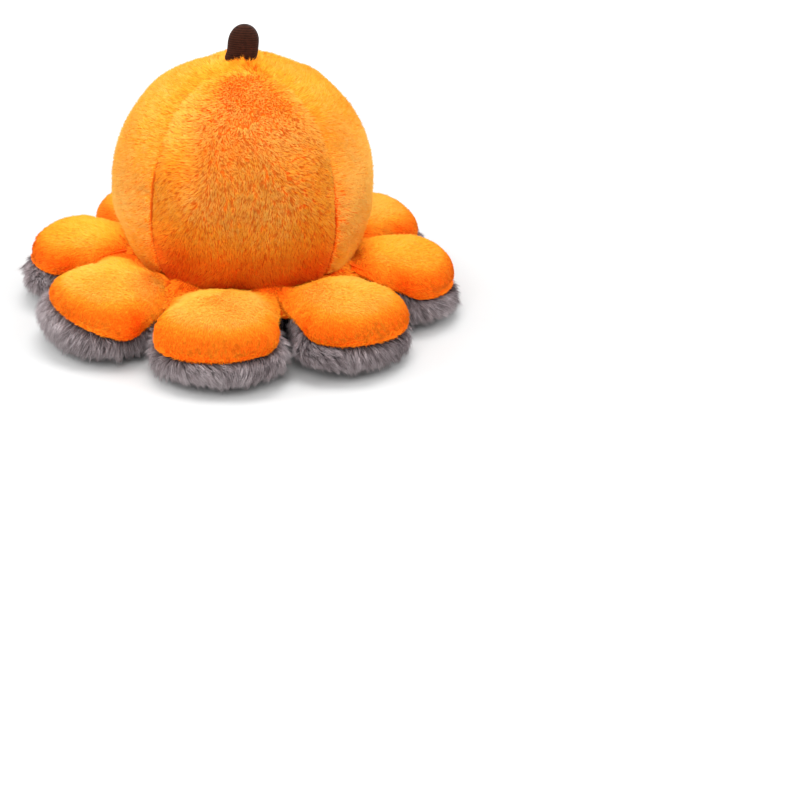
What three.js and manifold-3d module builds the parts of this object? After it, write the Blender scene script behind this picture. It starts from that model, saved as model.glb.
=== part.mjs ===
// Reversible plush pumpkin: a round stuffed head of four orange panels over a furry grey
// pocket, a ring of stuffed petals that flex on the crease under the head, and a brown stem.
// Millimetres, +Z up, standing on Z = 0, with the first petal facing -Y.
import * as THREE from 'three';
import { mergeVertices } from 'three/addons/utils/BufferGeometryUtils.js';
import Module from 'manifold-3d';

const wasm = await Module();
wasm.setup();

// Cloth and clearances
const ORANGE_SKIN = 2.2; // short-pile plush with its backing
const FUR_SKIN = 3.2; // long-pile fur pressed down, with its backing
const GAP = 0.3; // between pieces that touch

// Head
const HEAD_RADIUS = 58.5;
const HEAD_CENTRE = 55; // height of the ball's centre
const CREASE_HEIGHT = 25; // where the ball meets the petals
const PANEL_COUNT = 4;
const PANEL_TURN = 7; // degrees that the panels are sewn on out of line with the petals
const SEAM_DEPTH = 1.4; // how far a panel seam is drawn in
const SEAM_SHARPNESS = 8; // power that keeps the drawn-in stretch narrow
const CROWN_HOLE = 2; // radius left open where the panels meet

// Petals
const PETAL_COUNT = 8;
const PETAL_LENGTH = 46.5; // from the root to the furry tip
const PETAL_HEIGHT = 32;
const PETAL_SPACE = 4; // clear between neighbours
const PETAL_SET_OUT = 0.9; // root's clearance from the crease
const RIM_HEIGHT = 15; // seam between the orange top and the furry underside
const FUR_OVERHANG = 2; // fur stands out past the orange rim
const FUR_BELLY = 8; // height where the fur stands out most
const FLOOR_INSET = 7; // from the belly to the flat that rests on the floor
const TIP_FLARE = 0.3; // share of the widening room that the tip fills
const TIP_ROUNDING = 2; // superellipse exponent of the tip
const ROOT_ROUNDING = 4; // superellipse exponent of the root
const CROWN_ROUNDING = 2.4; // superellipse exponent of the top's swell

// Pocket under the head
const POCKET_SHARE = 0.65; // pocket's radius as a share of the head's
const POCKET_DROP = 15; // from the ball's centre down to where the pocket's dome begins
const MOUTH_INSET = 3; // way in, narrower than the pocket
const MOUTH_HEIGHT = 5;

// Collars that join the head, the pocket and the petals
const NECK_INSET = 3.4; // neck's radius less than the crease's
const LIP_THICKNESS = 1.2; // crease collar's lip, which reaches out to the petals' roots
const COLLAR_DEPTH = 4.5; // crease collar's height below the ball's edge

// Stem
const STEM_WIDTH = 13.5;
const STEM_HEIGHT = 15;
const STEM_THICKNESS = 6.4;
const STEM_SKIN = 1.2;
const STEM_TOP_ROUNDING = 2.2;
const STEM_FOOT_ROUNDING = 5;

// Fineness of the solids
const HEAD_SECTORS = 32;
const POCKET_SECTORS = 16; // also the head's filling, which lies inside both
const PETAL_SECTORS = 16;
const FILLING_SECTORS = 8; // the petals' filling
const STEM_SECTORS = 12;
const DOME_STEPS = 9;
const POCKET_STEPS = 6;
const SWELL_STEPS = 4;
const STEM_STEPS = 3;
const BELLY_STEPS = 2;

const orangePlush = new THREE.MeshStandardMaterial({ color: 0xf98a1c, roughness: 0.95, metalness: 0 });
const greyFur = new THREE.MeshStandardMaterial({ color: 0x8b8385, roughness: 1, metalness: 0 });
const brownCloth = new THREE.MeshStandardMaterial({ color: 0x33201a, roughness: 0.9, metalness: 0 });
const whiteFibre = new THREE.MeshStandardMaterial({ color: 0xf2f0ea, roughness: 1, metalness: 0 });

const creaseRadius = radiusOnBall(HEAD_RADIUS, CREASE_HEIGHT);
const neckRadius = creaseRadius - NECK_INSET;
const crownHeight = HEAD_CENTRE + HEAD_RADIUS;
const pocketRadius = POCKET_SHARE * HEAD_RADIUS;
const pocketCentre = HEAD_CENTRE - POCKET_DROP;
const pocketMouth = pocketRadius - MOUTH_INSET;
const petalHalf = PETAL_LENGTH / 2;
const petalCentre = creaseRadius + PETAL_SET_OUT + petalHalf;
const rimTop = RIM_HEIGHT + GAP / 2;
const petalSwell = swell(inside(FUR_OVERHANG), rimTop, PETAL_HEIGHT - rimTop);

// Radius of the head's ball, or of a ball inside it, at a height.
function radiusOnBall(radius, height) {
  return Math.sqrt(radius ** 2 - (height - HEAD_CENTRE) ** 2);
}

// Points from one angle to another on an ellipse, as [radius, height].
function arc(centreHeight, radius, rise, fromAngle, toAngle, steps) {
  return Array.from({ length: steps + 1 }, (_, k) => {
    const angle = fromAngle + ((toAngle - fromAngle) * k) / steps;
    return [radius * Math.cos(angle), centreHeight + rise * Math.sin(angle)];
  });
}

// Quarter of a superellipse from the rim (radius, base) to the pole (0, base + rise).
function swell(radius, base, rise, steps = SWELL_STEPS) {
  const power = 2 / CROWN_ROUNDING;
  return Array.from({ length: steps + 1 }, (_, k) => {
    const angle = (Math.PI / 2) * (k / steps);
    const across = k === steps ? 0 : Math.cos(angle) ** power;
    return [radius * across, base + rise * Math.sin(angle) ** power];
  });
}

// Closed solid of revolution about Y, from [radius, height] pairs listed upwards on the outside.
function revolve(profile, sectors) {
  const outline = profile.map(([radius, height]) => new THREE.Vector2(radius, height));
  return new THREE.LatheGeometry(outline, sectors);
}

// The same about Z.
function revolveUpright(profile, sectors) {
  return revolve(profile, sectors).rotateX(Math.PI / 2);
}

function moveVertices(geometry, move) {
  const position = geometry.getAttribute('position');
  const vertex = new THREE.Vector3();
  for (let i = 0; i < position.count; i++) {
    move(vertex.fromBufferAttribute(position, i));
    position.setXYZ(i, vertex.x, vertex.y, vertex.z);
  }
  return geometry;
}

function toSolid(geometry) {
  const bare = geometry.clone().deleteAttribute('normal').deleteAttribute('uv');
  const merged = mergeVertices(bare, 1e-3);
  return new wasm.Manifold(
    new wasm.Mesh({
      numProp: 3,
      vertProperties: merged.getAttribute('position').array,
      triVerts: new Uint32Array(merged.index.array),
    }),
  );
}

function toGeometry(solid) {
  const mesh = solid.getMesh();
  return new THREE.BufferGeometry()
    .setAttribute('position', new THREE.BufferAttribute(mesh.vertProperties, 3))
    .setIndex(new THREE.BufferAttribute(mesh.triVerts, 1));
}

function piece(name, geometry, material) {
  const mesh = new THREE.Mesh(geometry, material);
  mesh.name = name;
  return mesh;
}

// Head and pocket

// Draws a round form in along each panel seam, so that the panels swell between them.
function drawInSeams(geometry) {
  return moveVertices(geometry, (vertex) => {
    const radius = Math.hypot(vertex.x, vertex.y);
    const turn = Math.atan2(vertex.y, vertex.x);
    const nearness = Math.abs(Math.sin((PANEL_COUNT / 2) * turn)) ** SEAM_SHARPNESS;
    const drawn = (SEAM_DEPTH * nearness * radius) / HEAD_RADIUS ** 2;
    vertex.x *= 1 - drawn;
    vertex.y *= 1 - drawn;
  });
}

// Prism between two neighbouring seams, drawn in by half a gap on each side.
function panelWedge(index) {
  const half = Math.PI / PANEL_COUNT;
  const reach = 2 * HEAD_RADIUS;
  const apex = GAP / 2 / Math.sin(half);
  const outline = new THREE.Shape([
    new THREE.Vector2(apex, 0),
    new THREE.Vector2(apex + reach * Math.cos(half), -reach * Math.sin(half)),
    new THREE.Vector2(apex + reach * Math.cos(half), reach * Math.sin(half)),
  ]);
  const depth = 2 * crownHeight;
  return new THREE.ExtrudeGeometry(outline, { depth, bevelEnabled: false })
    .translate(0, 0, -crownHeight / 2)
    .rotateZ(-Math.PI / 2 + (2 * Math.PI * index) / PANEL_COUNT);
}

// Cuts a shell of revolution into one panel for each stretch between seams.
function sewnPanels(name, shell, material) {
  const whole = toSolid(shell);
  return Array.from({ length: PANEL_COUNT }, (_, index) => {
    const panel = whole.intersect(toSolid(panelWedge(index)));
    return piece(`${name}_${index + 1}`, toGeometry(panel), material);
  });
}

// Arc of the ball, drawn in by an inset, from a height up to a radius near the crown.
function ballArc(inset, fromHeight, endRadius, steps = DOME_STEPS) {
  const radius = HEAD_RADIUS - inset;
  const from = Math.asin((fromHeight - HEAD_CENTRE) / radius);
  return arc(HEAD_CENTRE, radius, radius, from, Math.acos(endRadius / radius), steps);
}

// Pocket wall, set back into the head by an inset, from its mouth up to a radius near its top.
function pocketArc(inset, endRadius, steps = POCKET_STEPS) {
  const radius = pocketRadius + inset;
  return [
    [pocketMouth + inset, MOUTH_HEIGHT],
    ...arc(pocketCentre, radius, radius, 0, Math.acos(endRadius / radius), steps),
  ];
}

function headPanels() {
  const outer = ballArc(0, CREASE_HEIGHT, CROWN_HOLE);
  const inner = ballArc(ORANGE_SKIN, CREASE_HEIGHT, CROWN_HOLE).reverse();
  const shell = drawInSeams(revolveUpright([...outer, ...inner, outer[0]], HEAD_SECTORS));
  return sewnPanels('head_panel', shell, orangePlush);
}

function pocketPanels() {
  const outer = pocketArc(FUR_SKIN, CROWN_HOLE);
  const inner = pocketArc(0, CROWN_HOLE).reverse();
  const shell = drawInSeams(revolveUpright([...outer, ...inner, outer[0]], POCKET_SECTORS));
  return sewnPanels('pocket_panel', shell, greyFur);
}

function headFilling() {
  const inset = ORANGE_SKIN + GAP;
  const collarTop = CREASE_HEIGHT - GAP;
  const neck = neckRadius - FUR_SKIN - GAP;
  const pocket = pocketArc(FUR_SKIN + GAP, 0).reverse();
  const profile = [
    [pocketMouth + FUR_SKIN + GAP, MOUTH_HEIGHT],
    [neck, MOUTH_HEIGHT],
    [neck, collarTop],
    ...ballArc(inset, CREASE_HEIGHT + GAP, 0),
    ...pocket,
  ];
  return piece('head_filling', drawInSeams(revolveUpright(profile, POCKET_SECTORS)), whiteFibre);
}

// Radius at which a petal's orange top begins, at a height above its rim.
function petalRootRadius(height) {
  const above = petalSwell.findIndex(([, level]) => level >= height);
  const [[lowShare, low], [highShare, high]] = petalSwell.slice(above - 1, above + 1);
  const share = lowShare + ((highShare - lowShare) * (height - low)) / (high - low);
  return petalCentre - petalHalf * share;
}

// Orange ring under the ball's edge, with a thin lip out to the petals' roots.
function creaseCollar() {
  const top = CREASE_HEIGHT - GAP;
  const underLip = top - LIP_THICKNESS;
  const lipRadius = petalRootRadius(underLip) - GAP;
  const inner = neckRadius - FUR_SKIN;
  const profile = [
    [inner, top - COLLAR_DEPTH],
    [neckRadius, top - COLLAR_DEPTH],
    [creaseRadius, underLip],
    [lipRadius, underLip],
    [lipRadius, top],
    [inner, top],
    [inner, top - COLLAR_DEPTH],
  ];
  return piece('crease_collar', revolveUpright(profile, HEAD_SECTORS), orangePlush);
}

// Furry ring that the head stands on: round the pocket's mouth, across the floor and up the neck.
function underCollar() {
  const top = CREASE_HEIGHT - 2 * GAP - COLLAR_DEPTH;
  const innerWall = neckRadius - FUR_SKIN;
  const edge = FUR_SKIN / 2;
  const profile = [
    [pocketMouth, edge],
    [pocketMouth + edge, 0],
    [neckRadius - edge, 0],
    [neckRadius, edge],
    [neckRadius, top],
    [innerWall, top],
    [innerWall, MOUTH_HEIGHT - GAP],
    [pocketMouth, MOUTH_HEIGHT - GAP],
    [pocketMouth, edge],
  ];
  return piece('under_collar', revolveUpright(profile, POCKET_SECTORS), greyFur);
}

// Petals

// Half-width of the room that a petal has between its neighbours, at a distance from its middle.
function petalRoom(outward) {
  const half = Math.PI / PETAL_COUNT;
  return (petalCentre + outward) * Math.tan(half) - PETAL_SPACE / 2 / Math.cos(half);
}

// Turns a solid of revolution of unit radius into the petal's paddle, root towards -X.
function petalShape(geometry) {
  return moveVertices(geometry, (vertex) => {
    const share = Math.hypot(vertex.x, vertex.y);
    const turn = Math.atan2(vertex.y, vertex.x);
    const power = 2 / (Math.cos(turn) > 0 ? TIP_ROUNDING : ROOT_ROUNDING);
    const outward = petalHalf * Math.sign(Math.cos(turn)) * Math.abs(Math.cos(turn)) ** power;
    const across = Math.sign(Math.sin(turn)) * Math.abs(Math.sin(turn)) ** power;
    vertex.x = share * outward;
    vertex.y = share * across * petalRoom(Math.min(outward, TIP_FLARE * outward));
  });
}

// Share of the petal's half-length that is left inside an inset.
function inside(inset) {
  return 1 - inset / petalHalf;
}

// Outside or inside of the furry underside: flat on the floor, round the belly and in to the rim.
function furProfile(inset, rim) {
  const flat = inside(FLOOR_INSET);
  const belly = inside(inset);
  const rise = FUR_BELLY - inset;
  const bowl = Array.from({ length: BELLY_STEPS + 1 }, (_, k) => {
    const angle = ((Math.PI / 2) * k) / BELLY_STEPS;
    return [flat + (belly - flat) * Math.sin(angle), FUR_BELLY - rise * Math.cos(angle)];
  });
  return [[0, inset], ...bowl, [inside(inset + FUR_OVERHANG), rim]];
}

function petalUnderside(name) {
  const rim = RIM_HEIGHT - GAP / 2;
  const profile = [...furProfile(0, rim), ...furProfile(FUR_SKIN, rim).reverse()];
  return piece(name, petalShape(revolveUpright(profile, PETAL_SECTORS)), greyFur);
}

function petalTop(name) {
  const rise = PETAL_HEIGHT - rimTop - ORANGE_SKIN;
  const inner = swell(inside(FUR_OVERHANG + ORANGE_SKIN), rimTop, rise).reverse();
  return piece(name, petalShape(revolveUpright([...inner, ...petalSwell], PETAL_SECTORS)), orangePlush);
}

function petalFilling(name) {
  const furInset = FUR_SKIN + GAP;
  const topInset = FUR_OVERHANG + Math.max(FUR_SKIN, ORANGE_SKIN) + GAP;
  const rise = PETAL_HEIGHT - RIM_HEIGHT - ORANGE_SKIN - 2 * GAP;
  const lower = furProfile(furInset, RIM_HEIGHT).slice(0, -1);
  const profile = [...lower, ...swell(inside(topInset), RIM_HEIGHT, rise)];
  return piece(name, petalShape(revolveUpright(profile, FILLING_SECTORS)), whiteFibre);
}

function petal(index) {
  const name = `petal_${index + 1}`;
  const group = new THREE.Group();
  group.add(petalTop(`${name}_top`), petalUnderside(`${name}_underside`), petalFilling(`${name}_filling`));
  group.children.forEach((mesh) => mesh.position.set(petalCentre, 0, 0));
  group.rotation.z = -Math.PI / 2 + (2 * Math.PI * index) / PETAL_COUNT;
  return group;
}

// Stem

// Turns a solid of revolution of unit radius about Y into the stem's tab, foot at Z = 0.
function stemShape(geometry) {
  return moveVertices(geometry, (vertex) => {
    const share = Math.hypot(vertex.x, vertex.z);
    const turn = Math.atan2(vertex.z, vertex.x);
    const power = 2 / (Math.sin(turn) > 0 ? STEM_TOP_ROUNDING : STEM_FOOT_ROUNDING);
    const across = Math.sign(Math.cos(turn)) * Math.abs(Math.cos(turn)) ** power;
    const up = Math.sign(Math.sin(turn)) * Math.abs(Math.sin(turn)) ** power;
    vertex.x = (share * across * STEM_WIDTH) / 2;
    vertex.z = (STEM_HEIGHT / 2) * (1 + share * up);
  });
}

// One face of the stem as a shell, swelling towards +Y.
function stemFace() {
  const rise = STEM_THICKNESS / 2 - GAP / 2;
  const outer = swell(1, GAP / 2, rise, STEM_STEPS);
  const inner = swell(1 - STEM_SKIN / (STEM_WIDTH / 2), GAP / 2, rise - STEM_SKIN, STEM_STEPS).reverse();
  return stemShape(revolve([...inner, ...outer], STEM_SECTORS));
}

function stemFilling() {
  const radius = 1 - (STEM_SKIN + GAP) / (STEM_WIDTH / 2);
  const rise = STEM_THICKNESS / 2 - STEM_SKIN - GAP;
  const rear = swell(radius, 0, rise, STEM_STEPS);
  const front = rear.slice(0, -1).map(([across, height]) => [across, -height]);
  const profile = [[0, -rise], ...front.reverse(), ...rear.slice(1)];
  return stemShape(revolve(profile, STEM_SECTORS));
}

function stem() {
  const group = new THREE.Group();
  const front = piece('stem_front_panel', stemFace().rotateZ(Math.PI), brownCloth);
  group.add(front, piece('stem_rear_panel', stemFace(), brownCloth));
  group.add(piece('stem_filling', stemFilling(), whiteFibre));
  group.position.z = crownHeight + GAP;
  return group;
}

const head = new THREE.Group();
head.add(...headPanels(), ...pocketPanels(), headFilling(), underCollar());
head.rotation.z = THREE.MathUtils.degToRad(PANEL_TURN);

const pumpkin = new THREE.Group();
pumpkin.add(head, creaseCollar(), stem());
for (let index = 0; index < PETAL_COUNT; index++) pumpkin.add(petal(index));

export default pumpkin;
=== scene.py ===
import math
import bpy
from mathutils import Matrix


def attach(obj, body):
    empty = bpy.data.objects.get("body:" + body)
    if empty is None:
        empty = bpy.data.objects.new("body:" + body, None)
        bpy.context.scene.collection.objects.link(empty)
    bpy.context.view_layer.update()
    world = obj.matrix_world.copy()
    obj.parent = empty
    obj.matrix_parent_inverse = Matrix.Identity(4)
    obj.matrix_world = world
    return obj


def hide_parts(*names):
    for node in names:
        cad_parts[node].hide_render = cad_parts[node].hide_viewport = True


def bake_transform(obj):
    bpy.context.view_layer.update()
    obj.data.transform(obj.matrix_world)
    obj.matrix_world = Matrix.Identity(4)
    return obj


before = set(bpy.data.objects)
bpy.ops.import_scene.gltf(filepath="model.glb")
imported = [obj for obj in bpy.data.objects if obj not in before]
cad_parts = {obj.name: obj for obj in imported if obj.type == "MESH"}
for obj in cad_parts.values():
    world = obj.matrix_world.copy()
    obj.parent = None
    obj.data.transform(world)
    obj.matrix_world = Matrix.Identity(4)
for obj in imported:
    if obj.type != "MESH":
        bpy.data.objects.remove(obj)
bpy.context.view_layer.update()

from types import SimpleNamespace

import bpy
import numpy as np
from mathutils import Matrix, Vector
from mathutils.kdtree import KDTree

MM = 0.001
UP = np.array([0.0, 0.0, 1.0])
LEVEL = np.array([1.0, 1.0, 0.0])

# Sizes of the solids, in millimetres
HEAD_RADIUS = 58.5
HEAD_CENTRE = 55.0
CREASE_HEIGHT = 25.0
CREASE_RADIUS = math.sqrt(HEAD_RADIUS**2 - (HEAD_CENTRE - CREASE_HEIGHT) ** 2)
PANEL_COUNT = 4
PANEL_TURN = math.radians(7)
HALF_PANEL = math.pi / PANEL_COUNT
PETAL_COUNT = 8
HALF_SECTOR = math.pi / PETAL_COUNT
PETAL_HALF = 46.5 / 2
PETAL_CENTRE = CREASE_RADIUS + 0.9 + PETAL_HALF
PETAL_HEIGHT = 32.0
PETAL_SPACE = 4.0
TIP_FLARE = 0.3
TIP_ROUNDING = 2.0
ROOT_ROUNDING = 4.0
RIM_HEIGHT = 15.0
POCKET_RADIUS = 0.65 * HEAD_RADIUS
POCKET_CENTRE = 40.0
POCKET_MOUTH = POCKET_RADIUS - 3
MOUTH_HEIGHT = 5.0
NECK_RADIUS = CREASE_RADIUS - 3.4
STEM_WIDTH = 13.5
STEM_HEIGHT = 15.0
STEM_THICKNESS = 6.4
STEM_FOOT = HEAD_CENTRE + HEAD_RADIUS + 0.3

# Cloth: skins lie inside the solids, by the length of their pile
PILE_ROOM = 1.5
FUR_ROOM = 3.4
LINING = 2.5  # thickness of a stuffed skin with its backing
RING_LINING, FUR_LINING, STEM_LINING = 1.5, 1.0, 0.8
FLOOR_CLEAR = 0.4  # lowest that fur lies

# Head: its skin is a grid from the crown down to below the crease
FRONT, RIGHT, REAR = range(3)  # panels, counted from the front towards the right
HEAD_ROWS = 46
GORE_COLUMNS = 33  # steps from seam to seam
HEAD_TOP, HEAD_TUCK, HEAD_FALL = (math.radians(angle) for angle in (1.5, 118, 127))
TUCK_DRAW = 0.08  # the skin draws in by this share, from the tuck to its lower edge
HEAD_SLACK = 0.9  # the skin starts this much smaller, and swells
HEAD_SHIFT = 1.0  # the stuffed ball sits a little to the right
SEAM_PULLS = ((0.2, 0.6, 4.5), (0.4, 0.9, 0.8))  # depth at the crown, extra depth lower down, reach
HEAD_BUMPS = ((0.45, 34, 5), (0.2, 13, 6))  # height, size and seed of the stuffing's unevenness
SHOULDER, SHOULDER_LEAN = 0.8, 0.5  # fuller above, more so on the right
SHOULDER_FALL, SHOULDER_REACH = 0.75, 0.4
WAIST, WAIST_FALL, WAIST_REACH = 1.2, 1.55, 0.33  # slimmer round the middle
DENTS = (  # turn from the front, angle from the crown, depth and reach
    (-0.78, 1.02, 1.5, 10.0),
    (0.60, 1.0, 1.7, 9.0),
    (-0.05, 0.62, 1.0, 9.0),
    (2.6, 1.1, 1.4, 11.0),
)
CROWN_RISE, CROWN_REACH = 0.9, 8.0
GATHERS, GATHER_DEPTH, GATHER_REACH = 9, 0.5, 4.5  # folds round the stem's foot
SEAM_HELD, CROWN_HELD, CREASE_HELD = 2, 5, 0.8  # columns, rows and share of the rows that don't swell
SEAM_FADE, SEAM_FADE_LENGTH = (76.0, 56.0), 18.0  # height up to which a seam shows, left and right
FRONT_STRANDS, PANEL_STRANDS = 54000, 44000

# Petals: an orange pad over a furry belly, in polar grids about the petal's middle
PAD_ROWS, PAD_COLUMNS = 28, 72
TUCK = 0.86  # share of a pad's rows down to the rim, below which it turns under
TUCK_IN, TUCK_DOWN = 3.0, 1.6  # how far it turns in and down there
PAD_INSET = 2.8  # the pads' rims lie this far inside the petals' outlines
PAD_SLACK = 1.0  # the pads start this much lower, and swell
PAD_CROWN = 2.5  # how square a pad's section is, 2 for round
PAD_BUMP = 0.4
ROOT_SPREAD = 0.25  # the pads reach further towards the crease by this share
ROOT_TUCK = 4.0  # and by this much more, in under the head
ROOT_SLOPE = 1.7  # how late a pad falls to the valley beside it, near the crease
VALLEY, VALLEY_BEND = 0.4, 14  # from a pad's edge to the valley's middle, and how sharply the pad stops there
RIM_HELD, ROOT_HELD = 0.02, 0.92  # shares of the rows and of the length beyond which a pad doesn't swell
PAD_STRANDS = 19000
PAD_FLOW = PETAL_CENTRE - 26  # the pile points away from this radius
BELLY_ROWS, BELLY_COLUMNS = 26, 60
BELLY_WALL, BELLY_UNDER = 0.35, 0.75  # shares of the rows down to the widest place, and to the floor
BELLY_INSET = 5.0  # the bellies start this far inside the petals' outlines
BELLY_HEIGHT = 12.0  # where they are widest
CONTACT = 0.15  # share of the petal that lies on the floor
BELLY_STRANDS = 18000

# Rim seams, which climb towards the crease and wander from petal to petal
ROOT_LIFT = 9.6
RIM_LAP = 0.6  # a pad starts this much above the seam, and a belly this much below
FUR_CEILING = 0.8  # fur stays this much below the seam
RIM_TIP = (0.0, 0.2, -1.0, 2.0, 0.0, 0.0, 2.2, 4.6)  # extra height at the tip
RIM_SIDE = (1.2, -1.8, -1.6, 0.0, 0.0, 0.0, 2.4, -3.4)  # and on the side towards the next petal
PAD_SHIFT = (-0.2, 0.4, 0.0, 0.0, 0.0, 0.0, 0.0, 2.0)  # pads sewn off the middle, towards the next petal
FUR_PAINTED_LIGHT_SHADE = (0.07, -0.05, -0.05, 0.0, 0.0, 0.0, 0.04, 0.13)  # painted light and shade: each petal's fur lighter or darker, lighter on the left, darker on the right
PAD_PAINTED_LIGHT_SHADE = (0.02, -0.02, -0.08, -0.05, 0.0, -0.03, -0.09, -0.02)  # painted light and shade on each pad's pile, mostly darker on the pads at the sides

# Ring of orange cloth inside the crease, which the petals grow out of
RING_ROWS, RING_COLUMNS = 18, 384
RING_INNER, RING_EDGE, RING_OUTER = 46.0, 52.0, 64.0
RING_HEIGHT, RING_RISE, RING_TUCK = 21.0, 4.9, 3.4  # under the petals, more between them, more under the head
RING_SLOPE, RING_CURVE = 0.2, 0.026  # how it falls past the edge
RING_FOLDS, FOLD_DEPTH = 96, 0.4
RING_STRANDS = 14000

# Pocket, and the furry ring that the head stands on
POCKET_ROWS, POCKET_COLUMNS = 26, 22
POCKET_WALL = 0.4  # share of the rows up to where the dome starts
POCKET_FALL = math.radians(88)
POCKET_BACK = 2.4  # the skin lies behind the solid's face, by the fur's depth
POCKET_STRANDS = 4200
UNDER_COLUMNS = 120
UNDER_OUTLINE = np.array([  # radius and height, from the outside in
    (NECK_RADIUS - 2.2, 18.0), (NECK_RADIUS - 2.4, 7.0), (NECK_RADIUS - 3.0, 3.6), (NECK_RADIUS - 5.2, 2.6),
    (POCKET_MOUTH + 6, 2.6), (POCKET_MOUTH + 3.2, 3.2), (POCKET_MOUTH + 2.2, 4.8), (POCKET_MOUTH + 3.0, 7.0),
])
UNDER_STRANDS = 6000

# Stem
STEM_ROWS, STEM_COLUMNS = 14, 56
STEM_TUCK = 1.8  # its foot stands in the pile
STEM_CUT = 1.0  # the cloth is this much lower than the solid
STEM_SHARE = 0.85  # and this share of its width
STEM_TOP_ROUNDING, STEM_FOOT_ROUNDING = 2.1, 6.0
STEM_SEAM, STEM_SWELL = 0.06, 0.55  # gap between the faces, and how flat each is
STEM_FLARE, STEM_SAG, STEM_LEAN = 1.5, 0.9, 0.09  # wider and lower at the foot's left, leaning to the right

# Swelling by simulation
SIM_SCALE = 0.01  # metres of the simulated copy for each millimetre, because small cloth hardly moves
SIM_FRAMES = 20
HEAD_PRESSURE, HEAD_LIMIT = 6.0, 1.2  # pressure, and how far a point may move
PAD_PRESSURE, PAD_LIMIT = 6.0, 2.4
CLOTH = dict(
    quality=6, mass=0.05, tension_stiffness=8, compression_stiffness=8, bending_stiffness=0.4, air_damping=4,
    shrink_min=-0.03, use_pressure=True,
)

# Tone maps: strands run from the depth at their root to the one at their tip. Low depths, at the roots and on
# the skins between strands, are painted shade deep in the pile.
TONE_RANGE = (0.03, 0.97)
TONE_SPREAD = 0.006  # between the three sides of a strand
SKIN_DEPTH, PAD_SKIN_DEPTH, TIP_DEPTH = 0.05, 0.2, 0.96
TAPER = 0.75

# Seeds of the pieces' random draws
HEAD_SEED, PAD_SEED, BELLY_SEED, RING_SEED, POCKET_SEED, UNDER_SEED = 100, 300, 400, 500, 600, 700

# Camera, fitted to the outlines of the head and the petals
CAMERA_DISTANCE = 700.0
CAMERA_ELEVATION = math.radians(20.76)
CAMERA_AZIMUTH = math.radians(8.15)
CAMERA_LENS = 70.2
SENSOR = 36.0
IMAGE = 800
HEAD_PIXEL = (242.8, 185.3)  # where the ball's centre lies in the image

# Studio, in metres and watts
FLOOR_HALF = 6.0
FLOOR_GREYS = ((0.3, 0.44), (1.0, 0.97))  # distance from the middle, and grey
WORLD_STRENGTH = 0.9
LIGHT_AIM = (0, 0, 0.05)
LIGHTS = (  # name, place, size and power
    ("side_right", (1.1, -0.1, 0.9), 0.9, 10),
    ("side_left", (-1.1, -0.1, 0.8), 0.9, 10.5),
    ("top", (0, 0.25, 1.5), 1.0, 18),
    ("front", (-0.2, -1.2, 1.2), 1.2, 21),
)


# Fields and directions

def ripples(points, size, seed, waves=16):
    """Smooth random field of about unit spread, with bumps of about that size."""
    rng = np.random.default_rng(seed)
    ways = rng.normal(size=(waves, 3))
    ways /= np.linalg.norm(ways, axis=1)[:, None]
    rates = 2 * np.pi / (2 * size * rng.uniform(0.7, 1.5, waves))
    phases = rng.uniform(0, 2 * np.pi, waves)
    return np.sin(points @ (ways * rates[:, None]).T + phases).sum(1) * math.sqrt(2 / waves)


def smooth(low, high, value):
    """Rises from 0 at low to 1 at high, or falls where low is the greater."""
    share = np.clip((value - low) / (high - low), 0, 1)
    return share * share * (3 - 2 * share)


def bell(value, reach):
    return np.exp(-((value / reach) ** 2))


def unit(vectors):
    return vectors / np.maximum(np.linalg.norm(vectors, axis=-1, keepdims=True), 1e-9)


def laid(ways, normals):
    """The part of the ways that lies along the surface."""
    return ways - normals * (ways * normals).sum(1)[:, None]


def turned(ways, normals, angles):
    """Turns tangents about their normals."""
    return ways * np.cos(angles)[:, None] + np.cross(normals, ways) * np.sin(angles)[:, None]


def spoke(turn):
    """Direction at a turn from the front, -Y, towards +X."""
    return np.stack([np.sin(turn), -np.cos(turn), np.zeros_like(turn)], axis=-1)


def pile_skin_tone(points, tone):
    return tone + 0.06 * ripples(points, 20, 31)


def fur_skin_tone(points):
    return 0.3 + 0.08 * ripples(points, 15, 61)


# Meshes

class Heap:
    """Vertices in millimetres, faces and tone map of one piece, gathered from its skin and strands."""

    def __init__(self):
        self.points, self.loops, self.sizes, self.tones = [], [], [], []
        self.count = 0

    def add(self, points, faces, tones):
        for group in faces:
            group = np.asarray(group)
            self.loops.append((group + self.count).ravel())
            self.sizes.append(np.full(len(group), group.shape[1]))
            self.tones.append(tones[group.ravel()])
        self.points.append(points)
        self.count += len(points)

    def piece(self, name, material):
        points = np.concatenate(self.points) * MM
        loops = np.concatenate(self.loops).astype(np.int32)
        sizes = np.concatenate(self.sizes).astype(np.int32)
        starts = np.concatenate([[0], np.cumsum(sizes)[:-1]]).astype(np.int32)
        mesh = bpy.data.meshes.new(name)
        mesh.vertices.add(len(points))
        mesh.vertices.foreach_set("co", points.astype(np.float32).ravel())
        mesh.loops.add(len(loops))
        mesh.loops.foreach_set("vertex_index", loops)
        mesh.polygons.add(len(sizes))
        mesh.polygons.foreach_set("loop_start", starts)
        mesh.polygons.foreach_set("loop_total", sizes)
        mesh.polygons.foreach_set("use_smooth", np.ones(len(sizes), bool))
        layer = mesh.uv_layers.new(name="OFBake")
        layer.data.foreach_set("uv", np.concatenate(self.tones).astype(np.float32).ravel())
        mesh.update(calc_edges=True)
        mesh.validate()
        mesh.materials.append(material)
        piece = bpy.data.objects.new(name, mesh)
        bpy.context.scene.collection.objects.link(piece)
        return piece


def grid_faces(rows, columns, closed=False):
    """Quads of a grid of points, row after row. A closed grid joins its last column to its first."""
    across = columns if closed else columns - 1
    row, column = np.meshgrid(np.arange(rows - 1), np.arange(across), indexing="ij")
    row, column = row.ravel(), column.ravel()
    beside = (column + 1) % columns
    below = (row + 1) * columns
    row = row * columns
    return np.stack([row + column, below + column, below + beside, row + beside], axis=1)


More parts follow.
